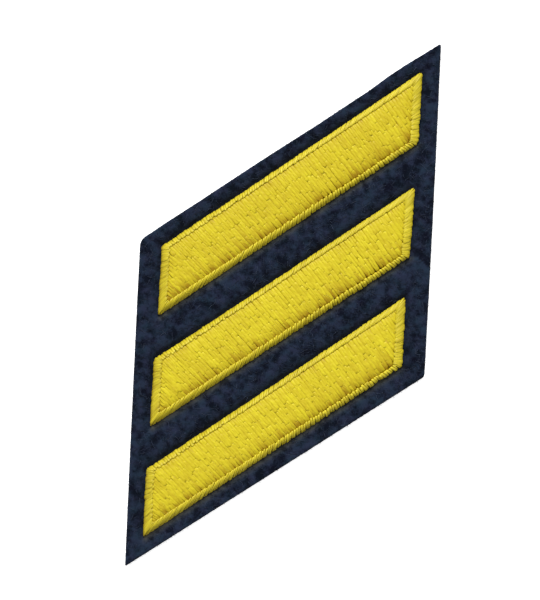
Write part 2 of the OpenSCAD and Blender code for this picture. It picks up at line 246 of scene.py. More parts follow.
# Floor, light and camera, with the height and the scale of the photograph's frame
FLOOR_WIDTH, FLOOR_GLOW = 4.0, 0.7
KEY_PLACE, KEY_WIDTH, KEY_POWER = (-0.08, 1.46, 1.34), 0.7, 54.8
SKY = 0.55
PHOTO_HIGH, PIXELS_PER_MM = 600, 7.035
VIEW_MIDDLE, CAMERA_HIGH = (-1.89, 0.654), 620.0


def direction(angle):
    return np.array([math.cos(math.radians(angle)), math.sin(math.radians(angle))])


def norm(v):
    return np.linalg.norm(v, axis=-1)


def unit(v):
    return v / norm(v)[..., None]


def left_of(v):
    """A direction turned left by a quarter."""
    return v[..., ::-1] * [-1, 1]


def cross(a, b):
    return a[..., 0] * b[..., 1] - a[..., 1] * b[..., 0]


def mix(a, b, t):
    return a * (1 - t) + b * t


def clamp(x):
    return np.clip(x, 0, 1)


def fading(distance, reach, power=2):
    return np.exp(-((distance / reach) ** power))


def lifted(plan, z):
    """Plan points or directions with a height."""
    return np.concatenate([plan, np.broadcast_to(z, plan.shape[:-1])[..., None]], axis=-1)


def lumpy(points, scale, layer, source=noise.noise):
    """Smooth noise over plan points, where scale is in lumps to a millimetre."""
    return np.array([source(Vector((*p * scale, layer))) for p in points])


def drawn(draw, count, middle, spread, least, most):
    """Random values kept between the least and the most."""
    return np.clip(draw(middle, spread, count), least, most)


def outward(a, b):
    return unit(left_of(a - b))


def facing(outline, k):
    """The outward direction of one side of an outline."""
    return outward(outline[k], outline[(k + 1) % 4])


def meet(a, b, c, d):
    """Where the line through a and b meets the line through c and d."""
    return a + (b - a) * cross(c - a, d - c) / cross(b - a, d - c)


def slanted(middle, length, width, rise, lean):
    """The corners of a slanted outline, from its lower left corner against the clock."""
    along, up = direction(rise), direction(90 - lean)
    half_long = along * length / 2
    half_side = up * width / cross(along, up) / 2
    return np.array([
        middle - half_long - half_side,
        middle + half_long - half_side,
        middle + half_long + half_side,
        middle - half_long + half_side,
    ])


def shrunk(outline, inset):
    """An outline with its edges moved inwards, alike or each by its own inset."""
    inset = np.broadcast_to(inset, 4)
    corners = []
    for k in range(4):
        before, here, after = outline[k - 1], outline[k], outline[(k + 1) % 4]
        in_a = -outward(before, here) * inset[k - 1]
        in_b = -outward(here, after) * inset[k]
        corners.append(meet(before + in_a, here + in_a, here + in_b, after + in_b))
    return np.array(corners)


def beyond(points, outline, k):
    """Distance of each point outside one side of an outline, less than 0 inside it."""
    return (points - outline[k]) @ facing(outline, k)


def outside(points, outline):
    return np.max([beyond(points, outline, k) for k in range(4)], axis=0)


def part_along(points, outline):
    """How far each point is along a bar's lower side, as a part of its length."""
    return (points - outline[0]) @ unit(outline[1] - outline[0]) / BAR_LENGTH


def bar_outline(row, along, across, turn, longer, wider, lean):
    run = direction(BAR_RISE)
    slip = BAR_PITCH / math.tan(math.radians(90 - BAR_RISE - BAR_LEAN))
    middle = run * (row * slip + along) + left_of(run) * (row * BAR_PITCH + across)
    length, width = BAR_LENGTH + longer, BAR_WIDTH + wider
    return slanted(middle, length, width, BAR_RISE + turn, BAR_LEAN + lean)


def corner_arc(outline, k, radius, steps):
    """Points round one rounded corner of an outline."""
    here = outline[k]
    back, on = unit(outline[k - 1] - here), unit(outline[(k + 1) % 4] - here)
    half = math.acos(back @ on) / 2
    heart = here + unit(back + on) * radius / math.sin(half)
    first = here + back * radius / math.tan(half) - heart
    start = math.degrees(math.atan2(first[1], first[0]))
    turn = 180 - 2 * math.degrees(half)
    return [heart + radius * direction(start + turn * j / steps) for j in range(steps + 1)]


def ring(outline, inset):
    """Points round a bar's outline, moved inwards, always the same number."""
    inset = np.broadcast_to(inset, 4)
    moved = shrunk(outline, inset)
    radii = [max(BAR_RADII[k] - min(inset[k - 1], inset[k]), TURN_RADIUS) for k in range(4)]
    arcs = [corner_arc(moved, k, radii[k], ARC_STEPS) for k in range(4)]
    points = []
    for k in range(4):
        start, end = arcs[k][-1], arcs[(k + 1) % 4][0]
        points += arcs[k]
        points += [mix(start, end, j / EDGE_STEPS[k]) for j in range(1, EDGE_STEPS[k])]
    return np.array(points)


def outside_ring(points, loop):
    """Distance of each point outside a closed convex loop, less than 0 inside it."""
    nearest, most_out = np.full(len(points), FAR), np.full(len(points), -FAR)
    for a, b in zip(loop, np.roll(loop, -1, axis=0)):
        edge = b - a
        length = norm(edge)
        t = clamp((points - a) @ edge / length**2)
        nearest = np.minimum(nearest, norm(points - a - t[:, None] * edge))
        most_out = np.maximum(most_out, (points - a) @ outward(a, b))
    return np.where(most_out > 0, nearest, -nearest)


outlines = {name: bar_outline(**bar) for name, bar in BARS.items()}
felt_edge = slanted(np.zeros(2), FELT_ALONG, FELT_ACROSS, FELT_RISE, FELT_LEAN)
felt_edge += CORNER_CUTS
felt_edge = shrunk(felt_edge, [-spread for spread in FELT_SPREAD])


# Shader writing


class Wire:
    """An output socket of a shader tree. Arithmetic on it adds Math nodes."""

    def __init__(self, finish, socket):
        self.finish = finish
        self.socket = socket

    def _math(self, operation, *values):
        values = dict(enumerate(values))
        return self.finish.node("ShaderNodeMath", {"operation": operation}, values)["Value"]

    def __add__(self, other):
        return self._math("ADD", self, other)

    def __sub__(self, other):
        return self._math("SUBTRACT", self, other)

    def __rsub__(self, other):
        return self._math("SUBTRACT", other, self)

    def __mul__(self, other):
        return self._math("MULTIPLY", self, other)

    __radd__ = __add__
    __rmul__ = __mul__

    def sine(self):
        return self._math("SINE", self)

    def clamped(self):
        return self.finish.node("ShaderNodeClamp", {}, {"Value": self})["Result"]


class Finish:
    """One material, written node by node."""

    def __init__(self, name):
        self.material = bpy.data.materials.new(name)
        self.material.use_nodes = True
        self.tree = self.material.node_tree
        self.tree.nodes.clear()

    def node(self, kind, settings, values):
        """Adds a node with its settings, and a value or a wire for each socket named."""
        made = self.tree.nodes.new(kind)
        for name, value in settings.items():
            setattr(made, name, value)
        for name, value in values.items():
            socket = made.inputs[name]
            if isinstance(value, Wire):
                self.tree.links.new(value.socket, socket)
            else:
                socket.default_value = value
        return {socket.name: Wire(self, socket) for socket in made.outputs if socket.enabled}

    def place(self):
        return self.node("ShaderNodeTexCoord", {}, {})["Object"]

    def attribute(self, name):
        return self.node("ShaderNodeAttribute", {"attribute_name": name}, {})["Fac"]

    def blend(self, factor, a, b):
        """A colour between two colours."""
        settings = {"data_type": "RGBA", "clamp_factor": True}
        return self.node("ShaderNodeMix", settings, {0: factor, 6: a, 7: b})["Result"]

    def noise(self, place, scale, detail=2.0, roughness=0.5):
        """Noise from 0 to 1, where scale is in lumps to a metre."""
        values = {"Vector": place, "Scale": scale, "Detail": detail, "Roughness": roughness}
        return self.node("ShaderNodeTexNoise", {"noise_dimensions": "3D"}, values)["Fac"]

    def bump(self, height, strength, distance, normal=None):
        values = {"Height": height, "Strength": strength, "Distance": distance}
        if normal is not None:
            values["Normal"] = normal
        return self.node("ShaderNodeBump", {}, values)["Normal"]

    def shader(self, values):
        made = self.node("ShaderNodeBsdfPrincipled", {}, values)
        self.node("ShaderNodeOutputMaterial", {}, {"Surface": made["BSDF"]})
        return self.material


def linear(*colour):
    """A colour given as 0 to 255 in sRGB, as the shader wants it."""
    parts = [c / 255 for c in colour]
    return [*(c / 12.92 if c <= 0.04045 else ((c + 0.055) / 1.055) ** 2.4 for c in parts), 1.0]


def gold_thread(name, dark, light, roughness, gloss):
    """Rayon thread: each stitch has its own shade, and fine plies twist along it."""
    finish = Finish(name)
    uv = finish.node("ShaderNodeUVMap", {"uv_map": "thread"}, {})["UV"]
    parts = finish.node("ShaderNodeSeparateXYZ", {}, {"Vector": uv})
    along, around = parts["X"], parts["Y"]
    shade, place = finish.attribute("shade"), finish.place()
    patches = finish.noise(place, 700.0)
    slack = finish.noise(place, 900.0, 1.0)
    turn = around * (2 * math.pi * PLY_COUNT) + along * (2 * math.pi / PLY_LAY)
    plies = (turn + slack * 7.0).sine() * 0.5 + 0.5
    laid = finish.node("ShaderNodeCombineXYZ", {}, {"X": along * 1.2, "Y": around * 5.0, "Z": 0.0})
    filaments = finish.noise(laid["Vector"], 1.0, 2.0, 0.6)
    # Painted shade on each thread's flanks, where neighbours meet, and a little in the valleys
    # between its plies
    painted_flank_shade = (around * (2 * math.pi) + math.pi / 2).sine() * 0.5 + 0.5
    tone = (
        shade * 0.37 + (patches - 0.5) * 0.37 + (filaments - 0.5) * 0.7 + plies * 0.06 + 0.51
        - painted_flank_shade * 0.4
    ).clamped()
    return finish.shader({
        "Base Color": finish.blend(tone, dark, light),
        "Roughness": roughness,
        "Specular IOR Level": gloss,
        "Normal": finish.bump(filaments, 0.3, 0.05 * MM, finish.bump(plies, 0.3, 0.03 * MM)),
    })


def underlay(name, colour):
    """The padding stitches under the threads, which show only as a dark gold depth."""
    finish = Finish(name)
    streaks = finish.noise(finish.place(), 2500.0)
    dim = [c * 0.8 for c in colour[:3]] + [1.0]
    return finish.shader({
        "Base Color": finish.blend(streaks, dim, colour),
        "Roughness": 0.7,
        "Normal": finish.bump(streaks, 0.4, 0.08 * MM),
    })


def navy_felt(name):
    """Pressed wool: a deep navy with soft darker and paler patches, and matted fibres."""
    finish = Finish(name)
    place = finish.place()
    patches = finish.noise(place, 480.0, 2.0, 0.6)
    curds = finish.noise(place, 850.0, 2.0, 0.55)
    tint = finish.noise(place, 700.0)
    fibres = finish.noise(place, 5200.0, 3.0, 0.6)
    tone = ((patches - 0.5) * 1.7 + (curds - 0.5) * 3.2 + (fibres - 0.5) * 1.8 + 0.5).clamped()
    hue = ((tint - 0.5) * 2.5 + 0.5).clamped()
    deep, pale = finish.blend(hue, *FELT_DEEP), finish.blend(hue, *FELT_PALE)
    # Painted shade in the groove beside the bars, and painted light on the felt just below them
    painted_groove_shade, painted_light_below = finish.attribute("painted_groove_shade"), finish.attribute("painted_light_below")
    wool = finish.blend(painted_light_below * (tone * 0.8 + 0.3), finish.blend(tone, deep, pale), FELT_LIGHT_BELOW)
    return finish.shader({
        "Base Color": finish.blend(painted_groove_shade * 0.75, wool, FELT_GROOVE_SHADE),
        "Roughness": 0.95,
        "Specular IOR Level": 0.04,
        "Sheen Weight": 0.03,
        "Sheen Roughness": 0.6,
        "Normal": finish.bump(fibres, 0.5, 0.05 * MM, finish.bump(curds, 0.8, 0.2 * MM)),
    })


def loose_fibre(name, dark, light, roughness):
    """Single fibres, each with its own shade."""
    finish = Finish(name)
    shade, place = finish.attribute("shade"), finish.place()
    grain = finish.noise(place, 6000.0)
    return finish.shader({
        "Base Color": finish.blend((shade + (grain - 0.5) * 0.4).clamped(), dark, light),
        "Roughness": roughness,
        "Specular IOR Level": 0.2,
    })


FELT_DEEP = linear(6, 8, 22), linear(4, 11, 21)
FELT_PALE = linear(31, 36, 55), linear(26, 39, 54)
# Colours of the painted shade beside the bars and of the painted light below them
FELT_GROOVE_SHADE, FELT_LIGHT_BELOW = linear(12, 12, 8), linear(62, 62, 55)
FILL_GOLDS = linear(149, 118, 10), linear(203, 190, 32)
BORDER_GOLDS = linear(132, 106, 9), linear(200, 186, 38)

felt_finish = navy_felt("navy_felt")
felt_fibre_finish = loose_fibre("navy_fibre", linear(12, 16, 30), linear(54, 64, 84), 0.7)
gold_fibre_finish = loose_fibre("gold_fibre", linear(204, 184, 34), linear(230, 214, 80), 0.45)
fill_finish = gold_thread("gold_fill_thread", *FILL_GOLDS, 0.5, 0.2)
border_finish = gold_thread("gold_border_thread", *BORDER_GOLDS, 0.45, 0.28)
underlay_finish = underlay("gold_underlay", linear(186, 160, 20))


# Mesh making


def mesh_of(bm):
    mesh = bpy.data.meshes.new("mesh")
    bm.to_mesh(mesh)
    bm.free()
    return mesh


def shown(name, data):
    data.name = name
    made = bpy.data.objects.new(name, data)
    bpy.context.scene.collection.objects.link(made)
    return made


def piece(name, mesh, finish):
    """Shows a mesh as a piece of the stripe, in one finish."""
    mesh.materials.append(finish)
    made = shown(name, mesh)
    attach(made, "root")
    return made


class Strand:
    """A straight closed thread made once, to be copied along many short paths."""

    def __init__(self, section, rings, tips):
        sides = len(section)
        bm = bmesh.new()
        bmesh.ops.create_cone(
            bm, cap_ends=True, cap_tris=False, segments=sides, radius1=1.0, radius2=1.0, depth=1.0
        )
        spin = math.pi * (sides % 2)
        bmesh.ops.rotate(bm, verts=bm.verts, matrix=Matrix.Rotation(spin, 3, "Z"))
        uprights = [e for e in bm.edges if abs(e.verts[0].co.z - e.verts[1].co.z) > 0.5]
        bmesh.ops.subdivide_edges(bm, edges=uprights, cuts=rings - 2)
        bm.verts.ensure_lookup_table()
        place = np.array([v.co for v in bm.verts])
        self.ring = np.rint((place[:, 2] + 0.5) * (rings - 1)).astype(int)
        ends = (self.ring == 0) | (self.ring == rings - 1)
        angle = np.arctan2(place[:, 0], -place[:, 1]) / (2 * math.pi) % 1.0
        corner = np.rint(angle * sides).astype(int) % sides
        self.section = section[corner] * np.where(ends, tips, 1.0)[:, None]
        self.loops = np.array([loop.vert.index for face in bm.faces for loop in face.loops])
        self.sizes = np.array([len(face.verts) for face in bm.faces])
        around = []
        for face in bm.faces:
            turns = [angle[v.index] for v in face.verts]
            wraps = max(turns) - min(turns) > 0.5
            around += [turn + (wraps and turn < 0.5) for turn in turns]
        self.around = np.array(around)
        self.along = (place[:, 2] + 0.5)[self.loops]
        bm.free()

    def copies(self, centre, side, width, thick, shade):
        """One mesh of a thread along each path: centre is paths by rings by 3, in millimetres.

        The width, thickness and shade are paths by rings, or less where they don't vary.
        """
        count = len(centre)
        width, thick, shade = (
            np.broadcast_to(each, centre.shape[:2]) for each in (width, thick, shade)
        )
        side = np.broadcast_to(side, centre.shape)
        up = unit(np.cross(unit(np.gradient(centre, axis=1)), side))
        half = (self.section * 0.5)[None, :, None]
        offset = (
            side[:, self.ring] * half[..., 0] * width[:, self.ring, None]
            + up[:, self.ring] * half[..., 1] * thick[:, self.ring, None]
        )
        points = (centre[:, self.ring] + offset).reshape(-1, 3) * MM
        per = len(self.ring)
        loops = (self.loops[None, :] + np.arange(count)[:, None] * per).ravel()
        sizes = np.tile(self.sizes, count)
        mesh = bpy.data.meshes.new("strands")
        mesh.vertices.add(len(points))
        mesh.vertices.foreach_set("co", points.astype(np.float32).ravel())
        mesh.loops.add(len(loops))
        mesh.loops.foreach_set("vertex_index", loops.astype(np.int32))
        mesh.polygons.add(len(sizes))
        starts = np.cumsum(sizes) - sizes
        mesh.polygons.foreach_set("loop_start", starts.astype(np.int32))
        lengths = norm(np.diff(centre, axis=1)).sum(axis=1)
        first = np.cumsum(lengths) - lengths
        uv = mesh.uv_layers.new(name="thread")
        u = first[:, None] + self.along[None, :] * lengths[:, None]
        v = np.broadcast_to(self.around, u.shape)
        uv.data.foreach_set("uv", np.stack([u, v], axis=-1).astype(np.float32).ravel())
        tone = mesh.attributes.new("shade", "FLOAT", "POINT")
        tone.data.foreach_set("value", shade[:, self.ring].astype(np.float32).ravel())
        mesh.update(calc_edges=True)
        mesh.polygons.foreach_set("use_smooth", np.ones(len(sizes), bool))
        return mesh


thread = Strand(THREAD_SECTION, THREAD_RINGS, THREAD_TIPS)
fibre = Strand(FIBRE_SECTION, FIBRE_RINGS, FIBRE_TIPS)


def sunk_copy(node, sink):
    """A copy of a solid of the model, with its surface drawn in under the threads."""
    bm = bmesh.new()
    bm.from_mesh(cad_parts[node].data)
    bmesh.ops.remove_doubles(bm, verts=bm.verts, dist=0.001 * MM)
    bm.normal_update()
    moved = [v.co - v.normal * sink * MM for v in bm.verts]
    for v, place in zip(bm.verts, moved):
        v.co = place
    for face in bm.faces:
        face.smooth = True
    return mesh_of(bm)


# Fill stitches


def fill_height(points, seam):
    """Height of the fill's threads over plan points, given the outline of the seam."""
    beside_lower = fading(np.maximum(-beyond(points, seam, LOWER), 0), 1.0)
    low = SEAM + mix(SEAM_FILLED[UPPER], SEAM_FILLED[LOWER], beside_lower)
    shoulder = mix(LONG_SHOULDER, FILL_SHOULDER, beside_lower)
    t = clamp(-outside(points, seam) / shoulder)
    return mix(low, FELT_THICK + FILL_PROUD, np.sin(math.pi / 2 * t) ** FILL_SQUARENESS)


def crossing(edge, base, run):
    """How far along a line through base it enters and leaves a convex outline."""
    enters, leaves = -FAR, FAR
    for k in range(4):
        out = facing(edge, k)
        speed = run @ out
        hit = ((edge[k] - base) @ out) / speed
        if speed > 0:
            leaves = min(leaves, hit)
        else:
            enters = max(enters, hit)
    return enters, leaves


def fill_rows(outline, rng):
    """The straight rows that the fill's threads follow, from their starts to their ends."""
    edge = shrunk(outline, BORDER_WIDTHS - TUCK)
    heart, along = edge.mean(axis=0), unit(outline[1] - outline[0])
    step = FILL_PITCH / math.sin(math.radians(THREAD_FALL + BAR_RISE))
    span = ROWS_SPAN * BAR_LENGTH
    steps = step * drawn(rng.normal, round(span / step), 1, PITCH_VARIES, *PITCH_LIMITS)
    starts, ends = [], []
    for way in np.cumsum(steps) - span / 2:
        run = direction(-(THREAD_FALL + THREAD_FAN * way / BAR_LENGTH))
        base = heart + along * way
        enters, leaves = crossing(edge, base, run)
        if leaves - enters > SHORTEST_ROW:
            starts.append(base + run * enters)
            ends.append(base + run * leaves)
    return np.array(starts), np.array(ends)


def needle_points(long, k, rng):
    """Where along a row the needle goes down, as parts of its length."""
    first = STITCH_LENGTH * (FIRST_HOLE + HOLE_STEP * k % 1) + rng.normal(0, FIRST_STRAYS)
    inner = np.arange(first, long - SHORTEST_STITCH, STITCH_LENGTH)
    inner = inner + rng.normal(0, HOLES_STRAY, len(inner))
    inner = inner[(inner > SHORTEST_STITCH) & (inner < long - SHORTEST_STITCH)]
    return np.concatenate([[0.0], inner / long, [1.0]])


def fill_widths(starts, rows, nearest, rng):
    """Widths of the fill's threads, given the distance of each ring from the nearest end."""
    steps = norm(np.diff(starts, axis=0))
    gaps = steps * FILL_PITCH / np.median(steps)
    gaps = np.concatenate([gaps[:1], gaps, gaps[-1:]])
    least, most = FILL_ROOM
    room = np.clip(np.maximum(gaps[1:], gaps[:-1]), least * FILL_PITCH, most * FILL_PITCH)
    varied = FILL_WIDE + rng.normal(0, FILL_VARIES, (len(rows), 1))
    return room[rows][:, None] * varied * (1 - END_SLIM * fading(nearest, SLIM_REACH, 1))


def fill_tones(name, seam, plan, rows, nearest, rng):
    """Shades of the fill's threads: painted shade in uneven lengths by the lower border and seam.
    """
    count, row_count = len(rows), rows[-1] + 1
    shade = 0.5 + rng.normal(0, ROW_TONE, row_count)[rows, None]
    shade = shade + rng.normal(0, STITCH_TONE, (count, 1)) + FILL_SHADES[name]
    below = np.maximum(0, -beyond(plan, seam, LOWER))
    way = clamp(part_along(plan, seam))
    reach = LOWER_REACH * rng.uniform(*REACH_VARIES, row_count)[rows, None]
    uneven = LOWER_MOST * rng.uniform(0, 1, row_count)[rows, None] ** LOWER_FALL
    # Painted shade on the lower shoulder, which faces away from the light, deeper in some rows
    shade = shade - uneven * mix(*LOWER_SHADES, way) * fading(below, reach)
    # Painted shade at the threads' ends, down in the seam
    painted_seam_shade = rng.uniform(0, 2 * SEAM_SHADE, (count, 1))
    reach = SEAM_REACH * rng.uniform(*REACH_VARIES, (count, 1))
    return shade - painted_seam_shade * fading(nearest, reach)


def fill_stitches(name, rng):
    """Rows of stitches laid to and fro across a bar. Neighbours share holes at their ends."""
    seam = shrunk(outlines[name], BORDER_WIDTHS)
    starts, ends = fill_rows(outlines[name], rng)
    longs = norm(ends - starts)
    rows, spans = [], []
    for k, long in enumerate(longs):
        places = needle_points(long, k, rng)
        rows += [k] * (len(places) - 1)
        spans += list(zip(places, places[1:]))
    rows, spans = np.array(rows), np.array(spans)
    count = len(rows)
    u = np.linspace(0, 1, THREAD_RINGS)
    long = longs[rows][:, None]
    inner = (spans > 0) & (spans < 1)
    spans = spans + inner * [-OVERLAP, OVERLAP] / long
    t = mix(spans[:, :1], spans[:, 1:], u)
    plan = mix(starts[rows][:, None], ends[rows][:, None], t[..., None])
    side = left_of(unit(ends - starts))
    from_start, from_end = t * long, (1 - t) * long

    turns = np.where(rows % 2, 1.0, -1.0)[:, None]
    ease = lumpy(ends, PAIR_SCALE, PAIR_LAYER)[rows][:, None]
    pull = PAIR_SHIFT * FILL_PITCH * turns * (
        fading(from_end, PAIR_REACH, PAIR_FALL)
        * np.clip(ease * PAIR_VARIES + PAIR_MEAN, *PAIR_LIMITS)
        - UPPER_SHIFT * fading(from_start, PAIR_REACH, PAIR_FALL)
    )
    waves = np.array([np.sin(math.pi * j * t) / j**WAVE_FALL for j in range(1, WAVES + 1)])

    def wavy(spread):
        return (rng.normal(0, spread, (WAVES, len(longs)))[:, rows, None] * waves).sum(axis=0)

    shift = pull + wavy(ROW_SWAY)
    strayed = rng.normal(0, HOLE_SHIFT, (count, 2)) * inner
    shift = shift + mix(strayed[:, :1], strayed[:, 1:], u)
    shift = shift + rng.normal(0, STITCH_BOW, (count, 1)) * np.sin(math.pi * u)
    shift = shift + rng.normal(0, RING_WOBBLE, t.shape)
    plan = plan + side[rows][:, None] * shift[..., None]

    depth = -outside(plan, seam)
    z = fill_height(plan, seam) - FILL_THICK / 2
    lift = wavy(ROW_LIFT) + rng.normal(0, STITCH_LIFT, (count, 1))
    z = z + (lift + rng.normal(0, RING_LIFT, t.shape)) * clamp(depth / LIFT_CLEAR)
    along = (spans[:, 1:] - spans[:, :1]) * long
    dip = inner[:, :1] * fading(u * along, DIP_REACH)
    dip = dip + FAR_DIP * inner[:, 1:] * fading((1 - u) * along, DIP_REACH)
    z = z - NEEDLE_DIP * dip - TUCK_DEPTH * clamp(-depth / TUCK)

    nearest = np.minimum(from_start, from_end)
    width = fill_widths(starts, rows, nearest, rng)
    shade = fill_tones(name, seam, plan, rows, nearest, rng)
    side = lifted(side[rows], 0)[:, None]
    return thread.copies(lifted(plan, z), side, width, FILL_THICK, shade)


# Border stitches


def border_height(t, wall, seam, skew, fullness=0.5):
    """Height of the border's threads, from the top of the wall at its outline, 0, to the seam, 1.

    A skew over 1 sets the crest farther in, and a fullness over 0.5 makes the slopes straighter.
    """
    rise = FELT_THICK + BORDER_PROUD - mix(wall, seam, 0.5)
    return mix(wall, seam, t) + rise * clamp(1 - (2 * t**skew - 1) ** 2) ** fullness


def spaced_round(loop, pitch, rng):
    """Places for threads round a loop of points, as fractional counts along it."""
    edges = np.roll(loop, -1, axis=0) - loop
    heading = np.arctan2(edges[:, 1], edges[:, 0])
    turned = (np.roll(heading, -1) - heading + math.pi) % (2 * math.pi) - math.pi
    steps = norm(edges) + CORNER_EXTRA * np.abs(turned)
    walked = np.concatenate([[0], np.cumsum(steps)])
    count = round(walked[-1] / pitch / 2) * 2
    wanted = (np.arange(count) + rng.normal(0, PITCH_STRAYS, count)) / count * walked[-1]
    return np.interp(wanted % walked[-1], walked, np.arange(len(walked)))


def past_each(loop):
    """From the point before each point of a loop to the point after it."""
    return np.roll(loop, -1, axis=0) - np.roll(loop, 1, axis=0)


def at(loop, places):
    closed = np.concatenate([loop, loop[:1]])
    index = np.arange(len(closed))
    places = places % len(loop)
    return np.stack([np.interp(places, index, closed[:, k]) for k in range(2)], axis=-1)


def side_shares(out, outline):
    """How much each outward direction belongs to each side of an outline."""
    normals = np.array([facing(outline, k) for k in range(4)])
    shares = clamp(out @ normals.T) ** SIDE_SHARPNESS + 1e-6
    return shares / shares.sum(axis=1, keepdims=True)


def foot_insets(outer, outline, shares, rng):
    """How far in a border's threads start, and how far along the bar, from 0 to 1, they are."""
    wander = lumpy(outer, WANDER_SCALE, FOOT_LAYER)[:, None]
    ragged = rng.normal(0, 1, (len(outer), 1)) * (shares @ FOOTS_STRAY[:, None])
    gone = part_along(outer, outline)[:, None]
    way = clamp(gone)
    up = clamp(-beyond(outer, outline, LOWER)[:, None] / BAR_WIDTH)
    lower, right, upper, left = (shares[:, k:k + 1] for k in range(4))
    at_point = clamp((gone - POINT_START) / POINT_LENGTH)
    inset = shares @ FOOT_INSETS[:, None] + TIP_INSET * right * up**2 - RIGHT_FOOT * lower * way
    inset = inset + UPPER_TILT * upper * (2 * way - 1) * (1 - way**TILT_FALL)
    inset = inset - POINT_RISE * upper * at_point
    inset = inset - LEFT_TILT * left * (2 * up - 1) + wander * FOOT_WANDER + ragged
    return inset, way


def border_stitches(name, rng):
    """Short stitches laid over the edge of a bar, side by side all the way round."""
    outline = outlines[name]
    outer_loop, inner_loop = ring(outline, 0), ring(outline, BORDER_WIDTHS)
    places = spaced_round(outer_loop, BORDER_PITCH, rng)
    count = len(places)
    outer, inner = at(outer_loop, places), at(inner_loop, places)
    forward, forward_in = unit(past_each(outer)), unit(past_each(inner))
    turns = np.where(np.arange(count) % 2, 1.0, -1.0)[:, None]
    shares = side_shares(left_of(-forward), outline)
    foot_inset, way = foot_insets(outer, outline, shares, rng)
    lower_share = shares[:, LOWER:LOWER + 1]
    bead = lower_share * way**2
    lump = np.repeat(rng.normal(0, 1, (count // 2, 1)), 2, axis=0)
    paired = turns * (FEET_PAIRED + BEADS_PAIRED * bead) - FEET_PAIRED
    outer = outer + unit(inner - outer) * foot_inset + forward * paired
    inner = inner - forward * paired
    zigzag = turns * ZIGZAG + rng.normal(0, ZIGZAG_VARIES, (count, 1))
    inner = inner + unit(inner - outer) * (zigzag - shares @ SLIMMER[:, None] * way**2)

    skew = mix(1.0, mix(*LOWER_SKEWS, way), lower_share)
    seam = SEAM + shares @ SEAM_FILLED[:, None]
    arch = THREAD_RINGS - 2
    t = (1 - np.cos(math.pi * np.arange(arch) / (arch - 1))) / 2
    t = np.concatenate([[0], t, [1]])
    fullness = 0.5 + LOWER_FULLNESS * lower_share * (1 - way)
    z = border_height(t, BORDER_WALL, seam, skew, fullness)
    z[:, 0] = WALL_TOP - END_DEPTH
    z[:, -1] -= END_DEPTH
    span = norm(inner - outer)[:, None]
    rho = t * span
    # Painted shade on the outer ends of the threads, where they slope down into the felt
    outer_shade = shares @ OUTER_SHADES[:, None] + LEFT_SHADE * lower_share * (1 - way) ** 2
    outer_shade = outer_shade * fading(rho, OUTER_REACH)
    high = z + rng.normal(0, 1, (count, 1)) * mix(*BORDER_LIFTS, bead) * np.sin(math.pi * t)
    high = high + lump * BEAD_LIFT * bead * np.sin(math.pi * t)
    run, climb = np.gradient(rho, axis=1), np.gradient(high, axis=1)
    steep = np.hypot(run, climb)
    half = BORDER_THICK / 2
    rho = rho + climb / steep * half
    high = high - run / steep * half
    inwards = (inner - outer) / span
    plan = outer[:, None] + inwards[:, None] * rho[..., None]
    side = -unit(mix(forward[:, None], forward_in[:, None], t[:, None]))
    gap = mix(*(norm(past_each(feet))[:, None] / 2 for feet in (outer, inner)), t)
    spread = shares @ BORDER_SPREAD[:, None] - BEAD_SLIM * bead
    width = np.clip(gap * spread, *BORDER_WIDE)
    width = width * (1 + rng.normal(0, BORDER_VARIES, (count, 1)))
    # Painted light and shade by side, random tone and paler beads, less the painted shade of the
    # outer ends
    shade = 0.5 + shares @ BORDER_SHADES[:, None] + rng.normal(0, BORDER_TONE, (count, 1))
    shade = shade + lump * BEAD_TONE * bead - outer_shade
    return thread.copies(lifted(plan, high), lifted(side, 0), width, BORDER_THICK, shade)


for name in BARS:
    rng = np.random.default_rng(SEED + BARS[name]["row"])
    for part, stitches, finish, sink in (
        ("fill", fill_stitches, fill_finish, FILL_SINK),
        ("border", border_stitches, border_finish, BORDER_SINK),
    ):
        node, slot = f"{part}_{name}", f"gold_{part}_thread"
        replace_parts(piece("stitches_" + node, stitches(name, rng), finish), node)
        piece("padding_" + node, sunk_copy(node, sink), underlay_finish)


# Felt


def spaced(start, end, count):
    """Even places from start up to but not at end."""
    return start + (end - start) * np.arange(count) / count


def grid_lines():
    """Where the felt's lines run: whole numbers are its edges and the edges of the bars."""
    margin, between, under, end, bar, wall = 20, 36, 5, 26, 330, 0.012
    across = [spaced(0, 1 - wall, margin)]
    for i in range(3):
        last = i == 2
        stop = 2 * i + 3 - (0 if last else wall)
        across += [
            [2 * i + 1 - wall],
            spaced(2 * i + 1, 2 * i + 2, under),
            [2 * i + 2],
            spaced(2 * i + 2 + wall, stop, margin if last else between),
        ]
    across.append([7.0])
    along = [
        spaced(0, 1 - wall, end), [1 - wall], spaced(1, 2, bar), [2.0],
        spaced(2 + wall, 3, end), [3.0],
    ]
    return np.concatenate(across), np.concatenate(along)


def felt_net():
    """The points that the felt is laid out on, 8 rows by 4 columns."""
    seats = [shrunk(outline, -GAP) for outline in outlines.values()]

    def edge_row(seat, a, b):
        return [a, meet(seat[0], seat[3], a, b), meet(seat[1], seat[2], a, b), b]

    rows = [edge_row(seats[0], felt_edge[0], felt_edge[1])]
    for seat in seats:
        for a, b in ((seat[0], seat[1]), (seat[3], seat[2])):
            left = meet(a, b, felt_edge[0], felt_edge[3])
            right = meet(a, b, felt_edge[1], felt_edge[2])
            rows.append([left, a, b, right])
    rows.append(edge_row(seats[2], felt_edge[3], felt_edge[2]))
    return np.array(rows)


NET = felt_net()
LAST_ROW, LAST_COLUMN = NET.shape[0] - 1, NET.shape[1] - 1


def net_points(r, c):
    i = np.minimum(r.astype(int), LAST_ROW - 1)
    j = np.minimum(c.astype(int), LAST_COLUMN - 1)
    u, v = (c - j)[:, None], (r - i)[:, None]
    return mix(mix(NET[i, j], NET[i, j + 1], u), mix(NET[i + 1, j], NET[i + 1, j + 1], u), v)


